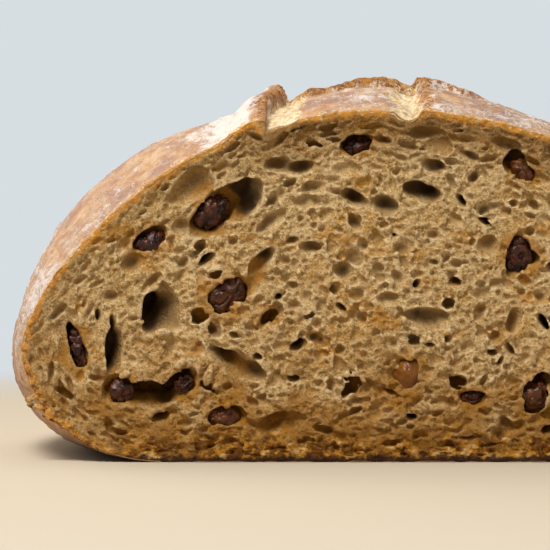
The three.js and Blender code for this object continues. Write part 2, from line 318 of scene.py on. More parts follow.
def cut_outline(count):
    """Points of the smooth cut edge, evenly spaced but wider apart along the base."""
    turn = np.linspace(0.0, 2.0 * np.pi, 4001)
    length = cut_reach(turn)
    x, z = length * np.cos(turn), SHOULDER + length * np.sin(turn)
    step = np.hypot(np.diff(x), np.diff(z))
    step = np.where(z[1:] < 0.5, step / BASE_SPACING, step)
    travelled = np.concatenate(((0.0,), np.cumsum(step)))
    return np.interp(np.linspace(0.0, travelled[-1], count, endpoint=False), travelled, turn)


def grid_normals(grid):
    """Outward normals of a grid of points that closes on itself along its second axis."""
    down = np.gradient(grid, axis=0)
    around = np.roll(grid, -1, axis=1) - np.roll(grid, 1, axis=1)
    normal = np.cross(around, down)
    return normal / np.maximum(np.linalg.norm(normal, axis=2, keepdims=True), 1e-9)


def slump(grid):
    """How far the dough rose over its left shoulder and drew in below it, away from the back."""
    turn = np.degrees(np.arctan2(grid[..., 2] - SHOULDER, grid[..., 0])) % 360.0
    moved = sum(size * np.exp(-((turn - centre) / spread) ** 2)
                for size, centre, spread in (SHOULDER_RISE, SIDE_DRAWN))
    return moved * ramp(grid[..., 1] + CUT, 0.0, SLUMP_START) * (1.0 - ramp(grid[..., 1], *SLUMP_END))


@lru_cache(maxsize=2)
def loaf_skin(score_depth, lip_height, lumps):
    """Outer surface of the kept part, rows from the back to the cut edge, with its masks."""
    turn = cut_outline(SKIN_COLUMNS)
    last = np.pi / 2 + np.arctan2(CUT, cut_reach(turn))
    rows = np.linspace(0.0, 1.0, SKIN_ROWS + 1)[1:, None]
    tilt = last * (1.0 - (1.0 - rows) ** FRONT_CROWDING)
    direction = np.stack((np.sin(tilt) * np.cos(turn), np.cos(tilt), np.sin(tilt) * np.sin(turn)), -1)
    length = reach((0.0, 0.0, SHOULDER), direction)
    grid = direction * length[..., None] + (0.0, 0.0, SHOULDER)
    normal = grid_normals(grid)
    flat_points = (grid + normal * slump(grid)[..., None]).reshape(-1, 3)
    free = ramp(grid[..., 2], *PRESSED_FLAT).ravel()
    top = ramp(grid[..., 2], *SLASHED).ravel()

    lift, slide, masks = slashes(flat_points, top, score_depth, lip_height)
    torn, crest = masks["torn"], masks["crest"]
    plan = flat_points * (1.0, 1.0, 0.0)

    # Fine relief: swellings, blisters, small cracks and the fibres of the torn dough
    swelling = 0.55 * noise(flat_points, 21.0) + 0.35 * noise(flat_points, 9.0, 5.3)
    blister = ramp(noise(flat_points, 4.2, 1.9), 0.35, 0.8)
    grain = noise(flat_points, 1.7, 7.7)
    crack = ramp(1.0 - np.abs(noise(flat_points, 6.5, 2.4)) * 6.0, 0.0, 1.0)
    crack = crack * ramp(noise(flat_points, 15.0, 8.8), 0.0, 0.4)
    fibre = noise(plan * (1.0, 0.6, 1.0), 2.0, 4.1)
    relief = lumps * (swelling + 0.4 * blister + 0.2 * grain - 0.35 * crack) - 0.25
    flaky = 0.3 * fibre + 0.45 * noise(flat_points, 3.6, 6.2) + 0.3 * noise(flat_points, 1.6, 1.3)
    relief = relief * (1.0 - torn) + torn * flaky + crest * 0.35 * noise(flat_points, 1.9, 8.4)
    points = flat_points + normal.reshape(-1, 3) * (relief * free)[:, None] + slide
    points[:, 2] += lift
    masks.update(blister=blister, crack=crack, behind=points[:, 1] + CUT)
    return points.reshape(grid.shape), grid_normals(points.reshape(grid.shape)), masks


def slashes(points, top, score_depth, lip_height):
    """A torn trough along each slash, with a lip that stands over it on its outer side, and the lid."""
    x, y = points[:, 0], points[:, 1]
    plan = points * (1.0, 1.0, 0.0)
    behind = y + CUT
    ragged = 1.5 * noise(plan, 6.0) + 0.8 * noise(plan, 2.4, 3.7)
    ragged += 3.0 * noise(plan, 27.0, 0.4) * ramp(behind, 0.0, 30.0)
    standing = 0.65 + 0.35 * ramp(behind, 0.0, 16.0)  # lips stand lower at the cut
    lift, torn, crest, floured = np.zeros((4, len(x)))
    slide = np.zeros((len(x), 3))
    lid = np.ones(len(x))
    for score in SCORES:
        side, opened, lean = across_score(score, x, y)
        share, half = score[3], score[4] / 2
        opened = opened * top
        side = side + ragged
        trough = np.sin(np.pi * np.clip(0.5 + 0.5 * side / half, 0.0, 1.0) ** 1.6) ** 0.8
        past = side - half
        lip = ramp(past, -1.8, 1.2) * np.exp(-(np.maximum(past - 1.5, 0.0) / LIP_RUN) ** 2.6)
        height = share * lip_height * (1.0 + 0.3 * noise(plan, 7.0, 9.1))
        lift += opened * (height * lip * standing - score_depth * (2.0 - min(share, 1.0)) * trough)
        over = np.exp(-((past - 0.4) / 1.5) ** 2) * opened * min(share, 1.1)
        slide[:, :2] += LIP_LEAN * over[:, None] * lean
        torn = np.maximum(torn, opened * ramp(half - side, -0.4, 2.4) * ramp(side + half, -0.8, 3.0))
        edge = opened * np.exp(-((past - 1.1) / 1.6) ** 2) * (1.0 - 0.55 * abs(share - 0.9))
        crest = np.maximum(crest, edge)
        dusted = ramp(past, 3.0, 5.0) * (1.0 - ramp(past, 11.0, 21.0)) * share
        floured = np.maximum(floured, opened * dusted)
        lid *= ramp(-side, 0.0, 2.0 * half)
    lift += LID_LIFT * lid * top
    return lift, slide, {"torn": torn, "crest": crest, "floured": floured}


# --- Meshes ---

def closed_faces(rings, columns):
    """Faces between closed rings of points, and around the pole at either end, the last two points."""
    here = np.arange(columns)
    beside = (here + 1) % columns
    row = np.arange(rings - 1)[:, None] * columns
    quads = np.stack((row + here, row + beside, row + beside + columns, row + here + columns), -1)
    pole = np.full(columns, rings * columns)
    last = (rings - 1) * columns
    back = np.stack((pole, beside, here), -1)
    front = np.stack((pole + 1, last + here, last + beside), -1)
    return quads.reshape(-1, 4).tolist() + back.tolist() + front.tolist()


def stand(name, data):
    """Adds an object to the scene."""
    thing = bpy.data.objects.new(name, data)
    bpy.context.scene.collection.objects.link(thing)
    return thing


def new_piece(name, points, faces, material, masks=None, chart=None):
    """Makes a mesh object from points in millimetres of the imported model, riding on the loaf's body."""
    mesh = bpy.data.meshes.new(name)
    mesh.from_pydata((np.asarray(points) * MM).tolist(), [], faces)
    mesh.shade_smooth()
    if chart is not None:
        layer = mesh.uv_layers.new(name="OFBake")
        corners = read(mesh.loops, "vertex_index", 1, np.int32)
        layer.uv.foreach_set("vector", chart(mesh, corners).astype(np.float32).ravel())
    for key, values in (masks or {}).items():
        layer = mesh.attributes.new(key, "FLOAT", "POINT")
        layer.data.foreach_set("value", np.asarray(values, np.float32))
    piece = stand(name, mesh)
    mesh.materials.append(material)
    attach(piece, "root")
    return piece


def disc_chart(rings, columns):
    """Lays the crust out as a disc, its back in the middle, with the floor of its recess in a corner."""
    share = np.repeat(np.arange(1, rings + 1) / rings, columns)
    turn = np.tile(np.linspace(0.0, 2.0 * np.pi, columns, endpoint=False), rings)
    disc = np.stack((0.5 + 0.495 * share * np.cos(turn), 0.5 + 0.495 * share * np.sin(turn)), -1)
    disc = np.concatenate((disc, ((0.5, 0.5), (0.04, 0.04))))

    def chart(_, corners):
        places = disc[corners]
        floor = slice(len(corners) - 3 * columns, None)
        places[floor] = 0.04 + 0.07 * (places[floor] - 0.5) * (corners[floor] != len(disc) - 1)[:, None]
        return places

    return chart


def face_chart(mesh, corners):
    """Lays the crumb out as seen from the front, and what faces backwards beside it."""
    places = read(mesh.vertices, "co")[:, (0, 2)]
    low, high = places.min(axis=0), places.max(axis=0)
    places = (places - low) / (high - low).max()
    sides = read(mesh.polygons, "loop_total", 1, np.int32)
    backwards = np.repeat(read(mesh.polygons, "normal")[:, 1] > 0.2, sides)
    return 0.005 + 0.99 * places[corners] + backwards[:, None] * (0.0, 0.5)


def inside_box(points):
    """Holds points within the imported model's box."""
    return np.clip(points, *(np.array(CAD_BOX) / MM))


# --- Materials ---

COLOUR_SOCKETS = (6, 7)  # of a Mix node, whose other sockets are for numbers and vectors
COLOUR_RESULT = 2


class Nodes:
    """Short way to add nodes to a new material."""

    def __init__(self, name):
        self.material = bpy.data.materials.get(name) or bpy.data.materials.new(name)
        self.material.use_nodes = True
        self.tree = self.material.node_tree
        self.tree.nodes.clear()
        output = self.tree.nodes.new("ShaderNodeOutputMaterial")
        self.shader = self.tree.nodes.new("ShaderNodeBsdfPrincipled")
        self.tree.links.new(self.shader.outputs["BSDF"], output.inputs["Surface"])
        self.place = self.add("TexCoord", {}, "Object")
        self.colour = None

    def add(self, kind, inputs, output, **settings):
        """Adds a node with these inputs and hands back one of its outputs."""
        node = self.tree.nodes.new("ShaderNode" + kind)
        for key, value in settings.items():
            setattr(node, key, value)
        for key, value in inputs.items():
            self.put(node.inputs[key], value)
        return node.outputs[output]

    def put(self, socket, value):
        if isinstance(value, bpy.types.NodeSocket):
            self.tree.links.new(value, socket)
        else:
            socket.default_value = (*value[:3], 1.0) if socket.type == "RGBA" else value

    def mask(self, name):
        return self.add("Attribute", {}, "Fac", attribute_name=name)

    def stretched(self, *scale):
        return self.add("Mapping", {"Vector": self.place, "Scale": scale}, "Vector")

    def noise(self, grain, detail=3.0, rough=0.55, twist=0.0, place=None):
        """Noise from 0 to 1 with lumps about grain millimetres wide."""
        return self.add("TexNoise", {
            "Vector": place or self.place,
            "Scale": 1.0 / (grain * MM),
            "Detail": detail,
            "Roughness": rough,
            "Distortion": twist,
        }, "Fac")

    def cells(self, grain):
        """Distance from the middles of cells about grain millimetres wide."""
        return self.add("TexVoronoi", {"Vector": self.place, "Scale": 1.0 / (grain * MM)}, "Distance")

    def height(self):
        """Height above the ground, in millimetres."""
        return self.times(self.add("SeparateXYZ", {"Vector": self.place}, "Z"), 1.0 / MM)

    def between(self, value, low, high, start=0.0, end=1.0):
        """Maps low..high to start..end and holds it there."""
        inputs = {"Value": value, "From Min": low, "From Max": high, "To Min": start, "To Max": end}
        return self.add("MapRange", inputs, "Result", interpolation_type="SMOOTHSTEP")

    def patches(self, noise, low, high, start=0.0, end=1.0):
        """Noise of this grain, detail and roughness, mapped as between does."""
        return self.between(self.noise(*noise), low, high, start, end)

    def reckon(self, operation, first, *others):
        for other in others:
            first = self.add("Math", {0: first, 1: other}, "Value", operation=operation)
        return first

    def plus(self, *values):
        return self.reckon("ADD", *values)

    def minus(self, *values):
        return self.reckon("SUBTRACT", *values)

    def times(self, *values):
        return self.reckon("MULTIPLY", *values)

    def mix(self, share, first, second):
        colours = {"Factor": share, COLOUR_SOCKETS[0]: first, COLOUR_SOCKETS[1]: second}
        return self.add("Mix", colours, COLOUR_RESULT, data_type="RGBA")

    def coat(self, colour, share=1.0):
        """Lays a colour over the ones before it."""
        self.colour = colour if self.colour is None else self.mix(share, self.colour, colour)

    def bump(self, height, distance, strength):
        inputs = {"Strength": strength, "Distance": distance * MM, "Height": height}
        return self.add("Bump", inputs, "Normal")

    def finish(self, roughness, normal, shine):
        """Hands the coats and these to the shader."""
        self.put(self.shader.inputs["Base Color"], self.colour)
        self.put(self.shader.inputs["Roughness"], roughness)
        self.put(self.shader.inputs["Normal"], normal)
        self.shader.inputs["Specular IOR Level"].default_value = shine
        return self.material


def crust_material(look):
    n = Nodes("floured_crust")
    n.coat(n.mix(n.patches((7.0, 6.0, 0.7), 0.38, 0.62), look.baked, look.pale))
    n.coat(look.mauve, n.patches((18.0, 6.0, 0.7, 0.8), 0.42, 0.58, 0.0, 0.9))
    n.coat(look.golden, n.patches((1.3, 5.0, 0.8), 0.48, 0.6, 0.0, 0.6))
    streaks = n.noise(3.2, 6.0, 0.75, 0.6, n.stretched(1.0, 0.5, 1.5))
    dust = n.noise(0.5, 3.0, 0.8)
    flour = n.plus(n.times(streaks, 0.4), n.times(n.noise(34.0, 3.0), 0.3), n.times(dust, 0.3))
    flour = n.minus(flour, n.between(n.height(), 5.0, 45.0, 0.045, 0.0))
    flour = n.plus(flour, n.times(n.mask("blister"), 0.04), n.times(n.mask("floured"), 0.07))
    flour = n.between(flour, 0.488, 0.56, 0.03, 0.94)
    flour = n.times(flour, n.between(n.mask("crack"), 0.1, 0.9, 1.0, 0.3))
    n.coat(look.flour, n.times(flour, look.dusting))
    chip = n.plus(n.mask("behind"), n.patches((2.4, 5.0, 0.8), 0.35, 0.65, -2.4, 2.8))
    chipped = n.mix(n.patches((0.8, 3.0, 0.7), 0.45, 0.62), look.golden, look.torn)
    n.coat(chipped, n.between(chip, 1.2, 3.2, 0.95, 0.0))
    dough = n.mix(n.patches((1.8, 5.0, 0.75), 0.44, 0.6), look.torn, look.torn_shade)
    opened = n.plus(n.mask("torn"), n.patches((3.0, 5.0, 0.75), 0.35, 0.65, -0.45, 0.45))
    n.coat(dough, n.between(opened, 0.35, 0.65))
    burnt = n.mix(n.patches((1.6, 5.0, 0.8), 0.44, 0.56), look.lip, look.dark)
    burnt = n.mix(n.patches((1.0, 3.0, 0.8), 0.5, 0.6, 0.0, 0.8), burnt, look.torn_shade)
    ragged = n.plus(n.mask("crest"), n.patches((2.2, 5.0, 0.8), 0.35, 0.65, -0.45, 0.4))
    n.coat(burnt, n.between(ragged, 0.2, 0.5, 0.0, 0.95))
    n.coat(look.base, n.between(n.height(), 0.5, 12.0, 0.9, 0.0))
    n.coat(look.golden, n.mask("inner"))
    bubbled = n.times(n.between(n.cells(2.6), 0.05, 0.4, 1.0, 0.0), n.patches((12.0, 3.0), 0.48, 0.6))
    rough = n.plus(n.times(n.noise(0.6, 4.0, 0.8), 0.6), n.noise(2.2, 5.0, 0.65))
    normal = n.bump(n.plus(rough, n.times(flour, 0.25), n.times(bubbled, 0.5)), 0.7, 0.9)
    return n.finish(n.between(flour, 0.1, 0.8, 0.5, 0.92), normal, shine=0.2)


def crumb_material(look):
    n = Nodes("open_crumb")
    under = n.mask("under")
    mottle = n.noise(7.0, 5.0, 0.6)
    n.coat(n.mix(n.between(mottle, 0.38, 0.64), look.crumb, look.pale_crumb))
    n.coat(look.grey_crumb, n.patches((30.0, 3.0, 0.6), 0.46, 0.58, 0.0, 0.6))
    grain = n.noise(0.6, 4.0, 0.8)
    plain = n.between(n.mask("hollow"), -0.1, 0.4, 1.0, 0.15)
    n.coat(look.dry_and_ridge_light, n.times(n.between(grain, 0.5, 0.4, 0.0, 0.75), plain))
    # Painted shade: specks, pits and pores too fine for the mesh are darkened with the shade colour, standing
    # in for shade in tiny pores
    specks = n.times(n.between(grain, 0.52, 0.61, 0.0, 0.7), plain)
    pits = n.times(n.between(n.cells(1.7), 0.22, 0.42, 1.0, 0.0), n.patches((5.0,), 0.42, 0.56))
    pores = n.times(n.between(n.cells(0.95), 0.2, 0.42, 1.0, 0.0), n.patches((3.0,), 0.4, 0.5))
    pitted = n.times(n.reckon("MAXIMUM", pits, n.times(pores, 0.6)), plain)
    dark = n.reckon("MAXIMUM", specks, n.times(pitted, 0.7))
    n.coat(look.shade, dark)
    ochre = n.noise(13.0, 4.0, 0.65, place=n.stretched(0.6, 1.0, 1.3))
    n.coat(look.ochre, n.between(ochre, 0.55, 0.68, 0.0, 0.75))
    # Painted highlight on ridges between bubbles, partly the paler tone of thin dry edges
    crest = n.times(n.between(n.mask("ridge"), 0.0, 0.4, 0.0, 0.85), n.patches((1.4,), 0.3, 0.55))
    n.coat(look.dry_and_ridge_light, crest)
    # Painted shade in hollows, set by how much crumb surrounds each point, partly the smoother walls' own
    # duller tone
    n.coat(look.hollow_wall_shade, n.between(n.mask("hollow"), 0.0, 0.7, 0.0, 0.6))
    # Painted shade: the crumb turns near black the deeper it lies behind the cut face, standing in for the
    # shade deep in bubbles and hollows
    n.coat(look.deep, n.between(n.mask("depth"), 0.8, 5.2, 0.0, 0.97))
    stain = n.between(n.plus(n.mask("stain"), n.times(n.noise(3.0, 3.0), 0.6)), 0.6, 1.2)
    stain = n.times(stain, n.patches((6.0, 3.0), 0.4, 0.6, 0.3, 0.8))
    n.coat(look.stain, stain)

    # Warmer towards the base, dense under the crust and golden where the crust is cut through
    warm = n.plus(n.height(), n.patches((16.0, 3.0), 0.3, 0.7, -14.0, 14.0))
    # Here too the pits and pores carry painted shade, in the dense-crumb colour
    warmed = n.mix(dark, look.warm, look.band)
    n.coat(warmed, n.between(warm, 4.0, 38.0, 0.78, 0.0))
    edge = n.plus(under, n.patches((2.2, 4.0, 0.6), 0.25, 0.75, -0.9, 0.9))
    across = n.add("CombineXYZ", {"X": n.times(under, 0.0025), "Y": n.noise(14.0, 1.0)}, "Vector")
    along = n.add("VectorMath", {0: n.stretched(0.2, 0.2, 0.2), 1: across}, "Vector", operation="ADD")
    streaks = n.between(n.noise(1.7, 3.0, 0.6, place=along), 0.3, 0.6, 0.25, 1.0)
    paler = n.between(n.mask("flank"), 0.0, 1.0, 1.0, 0.3)
    dense = n.times(n.between(edge, 3.0, 16.0, 0.85, 0.0), streaks, paler)
    n.coat(look.band, dense)
    thin = n.plus(under, n.patches((3.0, 5.0, 0.7), 0.3, 0.7, -0.7, 1.2))
    whole = n.between(n.mask("torn"), 0.2, 0.8, 1.0, 0.2)
    crusted = n.times(n.between(thin, 1.0, 2.4, 0.95, 0.0), whole)
    brown = n.times(n.patches((2.5, 5.0, 0.7), 0.42, 0.62), n.between(n.height(), 8.0, 60.0, 1.0, 0.3))
    golden = n.mix(n.patches((1.3, 4.0, 0.7), 0.52, 0.64), look.crust_line, look.flake)
    golden = n.mix(n.between(under, -1.2, -0.3, 0.7, 0.0), golden, look.flake)
    n.coat(n.mix(brown, golden, look.toast), crusted)

    # Toasted crumbs and a burnt line along the base
    low = n.plus(n.height(), n.patches((6.0, 4.0, 0.6), 0.3, 0.7, -4.0, 5.0))
    baked = n.noise(3.2, 4.0, 0.6)
    toasted = n.mix(n.between(baked, 0.44, 0.53), look.toast, look.ochre)
    toasted = n.mix(n.between(baked, 0.55, 0.64, 0.0, 0.85), toasted, look.flake)
    n.coat(toasted, n.between(low, 0.0, 13.0, 0.9, 0.0))
    burnt = n.plus(n.height(), n.patches((2.5, 3.0), 0.25, 0.75, -1.0, 1.0))
    n.coat(look.crust_dark, n.between(burnt, 0.8, 2.4, 0.95, 0.0))
    normal = n.bump(n.minus(n.times(grain, plain, -1.3), pitted), 0.6, 0.8)
    return n.finish(n.between(n.mask("hollow"), -0.1, 0.6, 0.85, 0.6), normal, shine=0.12)


def raisin_material(look):
    n = Nodes("raisin_skin")
    n.coat(n.mix(n.patches((3.0, 3.0), 0.35, 0.65), look.dark, look.red))
    amber = n.times(n.mask("amber"), n.patches((4.0, 3.0), 0.3, 0.6, 0.4, 1.0))
    n.coat(look.amber, amber)
    bloom = n.times(n.patches((0.8, 4.0, 0.7), 0.55, 0.8, 0.0, 0.2), n.minus(1.0, amber))
    n.coat(look.bloom, bloom)
    # Painted shade: the darkest skin colour is laid into the fold valleys
    n.coat(look.dark, n.between(n.mask("fold"), 0.55, 1.0, 0.0, 0.6))
    normal = n.bump(n.plus(n.noise(0.6, 4.0, 0.6), n.noise(2.0, 2.0)), 0.25, 0.5)
    return n.finish(n.patches((1.5, 3.0), 0.3, 0.7, 0.2, 0.38), normal, shine=0.3)


# --- Crust ---

def crust_solid(settings):
    """Skin of the loaf closed by a recess in its front, which the crumb fills."""
    skin, normal, masks = loaf_skin(settings.score_depth, settings.lip_height, settings.lumps)
    columns = skin.shape[1]
    edge, out = skin[-1], normal[-1]
    inward = -np.stack((out[:, 0], np.zeros(columns), out[:, 2]), -1)
    inward /= np.linalg.norm(inward, axis=1, keepdims=True)
    tear = 0.35 * noise(edge, 1.6, 2.2) + 0.35 * noise(edge, 5.0, 1.1)
    skin = skin.copy()
    skin[-1, :, 1] += 0.2 + np.maximum(tear, -0.2)
    rings = []
    for inset, back in RECESS_RINGS:
        ring = edge + inward * inset
        ring[:, 1] = -CUT + back
        rings.append(ring)
    back_pole = np.array((0.0, reach((0.0, 0.0, SHOULDER), np.array((0.0, 1.0, 0.0))), SHOULDER))
    floor_middle = np.array((0.0, -CUT + RECESS_DEPTH, SHOULDER))
    points = np.concatenate((skin.reshape(-1, 3), *rings, (back_pole, floor_middle)))
    faces = closed_faces(skin.shape[0] + len(rings), columns)
    extra = len(points) - skin.shape[0] * columns
    masks = {key: np.concatenate((value, np.zeros(extra))) for key, value in masks.items()}
    masks["inner"] = np.concatenate((np.zeros(skin.shape[0] * columns), np.ones(extra)))
    masks["inner"][-2] = 0.0
    return inside_box(points + skin_frame()), faces, masks


# --- Crumb ---

class Slab:
    """Block of voxels around the crumb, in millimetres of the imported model."""

    def __init__(self, step):
        self.step = step
        low, high = box_of("loaf")
        self.face = low[1]
        far = np.array((high[0] + 2.0, low[1] + SLAB_DEPTH, high[2] - 8.0))
        self.low = np.floor((low - 2.0) / step).astype(int)
        self.shape = tuple(np.ceil(far / step).astype(int) - self.low)
        self.origin = self.low * step
        self.inward = (self.origin[1] + np.arange(self.shape[1]) * step - self.face)[None, :, None]
        self.inward = self.inward.astype(np.float32)

    def noise(self, grain, rng):
        return noise_volume(self.shape, self.step, (grain,) * 3, rng)

    def sheet_noise(self, grain, rng):
        return noise_volume((self.shape[0], 1, self.shape[2]), self.step, (grain, 1.0, grain), rng)

    def level_set(self, points, faces, coarseness, band):
        """Depth inside a closed mesh on this block, exact within band voxels of its surface."""
        grid = level_set(points, faces, coarseness * self.step, band)
        if coarseness == 1:
            return -read_block(grid, self.low, self.shape)
        low = self.low // coarseness - 1
        block = -read_block(grid, low, tuple(count // coarseness + 4 for count in self.shape))
        for axis, count in enumerate(self.shape):
            place = (np.arange(count) + self.low[axis]) / coarseness - low[axis]
            block = drawn_out(block, axis, place)
        return block.astype(np.float32)


def level_set(points, faces, step, band):
    """Signed distance to a closed mesh, negative inside, in voxels of step millimetres."""
    transform = openvdb.createLinearTransform(voxelSize=step)
    quads = np.array([face for face in faces if len(face) == 4], np.uint32).reshape(-1, 4)
    triangles = np.array([face for face in faces if len(face) == 3], np.uint32).reshape(-1, 3)
    return openvdb.FloatGrid.createLevelSetFromPolygons(
        np.asarray(points, np.float32), triangles=triangles, quads=quads, transform=transform, halfWidth=band)


def read_block(grid, low, shape):
    block = np.zeros(shape, np.float32)
    grid.copyToArray(block, ijk=tuple(int(v) for v in low))
    return block


def softened(block, times):
    """Blurs a block a little along each axis."""
    for _ in range(times):
        for axis in range(3):
            block = 0.25 * np.roll(block, 1, axis) + 0.5 * block + 0.25 * np.roll(block, -1, axis)
    return block


def box_mean(block, reach):
    """Mean of a block over a cube of 2 reach + 1 voxels."""
    for axis in range(3):
        count = block.shape[axis]
        total = np.cumsum(block, axis, dtype=np.float32)
        total = np.concatenate((np.zeros_like(block.take([0], axis)), total), axis)
        high = np.minimum(np.arange(count) + reach + 1, count)
        low = np.maximum(np.arange(count) - reach, 0)
        block = (total.take(high, axis) - total.take(low, axis)) / along_axis(high - low, axis)
    return block


def closed_skin(skin, carried_on):
    """Rows of the skin carried on past the cut face and closed at both ends."""
    rows, columns = skin.shape[:2]
    back = (0.0, skin[0, :, 1].max(), SHOULDER)
    ahead = skin[-1] - (0.0, carried_on, 0.0)
    points = np.concatenate((skin.reshape(-1, 3), ahead, (back, (0.0, -CUT - carried_on, SHOULDER))))
    return points + skin_frame(), closed_faces(rows + 1, columns)


def carve(solid, depth, front, slab, count, sizes, buried, wobble, rng):
    """Cuts gas bubbles open at the torn front. Near the crust they lie flat along it, and fewer fit."""
    shape = np.array(slab.shape)
    step = slab.step
    radius = sizes[0] * (sizes[1] / sizes[0]) ** (rng.random(count) ** SMALL_PREVAIL)
    middles = rng.uniform(1.0, shape - 2.0, (count, 3))
    column = np.round(middles).astype(int)
    behind = front[column[:, 0], column[:, 2]] + radius * rng.uniform(BUBBLE_RAISED, buried, count)
    middles[:, 1] = (slab.face + behind - slab.origin[1]) / step
    if sizes[1] > 1.2:
        middles, radius = clear_of_hollows(middles, radius, slab)
    turns = rng.normal(0.0, 1.0, count)
    spread = rng.uniform(-1.0, 1.0, (count, 3))
    for centre, size, turn, uneven in zip(middles, radius, turns, spread):
        here = np.round(centre).astype(int)
        if (here < 1).any() or (here >= shape - 1).any():
            continue
        deep = depth[tuple(here)]
        if deep < 1.0 + 0.75 * size or (size > 1.5 and deep < 2.0 * size):
            continue
        inner = min(deep / FLAT_BUBBLES, 1.0)
        slope_x = depth[here[0] + 1, here[1], here[2]] - depth[here[0] - 1, here[1], here[2]]
        slope_z = depth[here[0], here[1], here[2] + 1] - depth[here[0], here[1], here[2] - 1]
        tilt = np.arctan2(slope_x, slope_z) * (inner < 1.0) + turn * (0.15 + 0.5 * inner)
        radii = size * np.array((1.75 - 0.6 * inner, 1.0, 0.5 + 0.4 * inner)) * (1.0 + 0.22 * uneven)
        span = np.ceil(radii.max() * 1.3 / step).astype(int) + 1
        start, stop = np.maximum(here - span, 0), np.minimum(here + span + 1, shape)
        window = tuple(map(slice, start, stop))
        x, y, z = ((np.arange(a, b, dtype=np.float32) - c) * step for a, b, c in zip(start, stop, centre))
        along, across = turned(x[:, None, None], z[None, None, :], -tilt)
        back = y[None, :, None] / radii[1]
        ball = np.sqrt((along / radii[0]) ** 2 + back ** 2 + (across / radii[2]) ** 2)
        bubble = (1.0 - ball - 0.2 * wobble[window]) * radii.min() * 1.1
        solid[window] = np.maximum(solid[window], bubble)


def clear_of_hollows(middles, radius, slab):
    """Leaves out bubbles that would break into a hollow at the cut face."""
    place = middles[:, (0, 2)] * slab.step + slab.origin[[0, 2]] - skin_frame()[[0, 2]]
    apart = np.full(len(place), np.inf)
    for x, z, long, thick, _, _ in HOLLOWS:
        apart = np.minimum(apart, np.hypot(place[:, 0] - x, place[:, 1] - z) - 0.5 * (long + thick))
    clear = apart > 0.9 * radius
    return middles[clear], radius[clear]


def packed_pockets(slab):
    """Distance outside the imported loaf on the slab's block: positive in its pockets and bubbles."""
    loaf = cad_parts["loaf"].data
    loaf.calc_loop_triangles()
    triangles = read(loaf.loop_triangles, "vertices", kind=np.int32).tolist()
    inside = slab.level_set(read(loaf.vertices, "co") / MM, triangles, coarseness=1, band=6.0)
    return softened(-inside, 3)


def tightness(slab):
    """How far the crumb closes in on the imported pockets: more around a raisin, which it sticks to."""
    tight = np.full(slab.shape, POCKET_GAP, np.float32)
    for name in RAISINS:
        low, high = box_of(name)
        start = np.maximum(np.floor((low - 1.5 - slab.origin) / slab.step).astype(int), 0)
        stop = np.ceil((high + 1.5 - slab.origin) / slab.step).astype(int)
        tight[tuple(map(slice, start, stop))] = RAISIN_GRIP
    return softened(tight, 3)


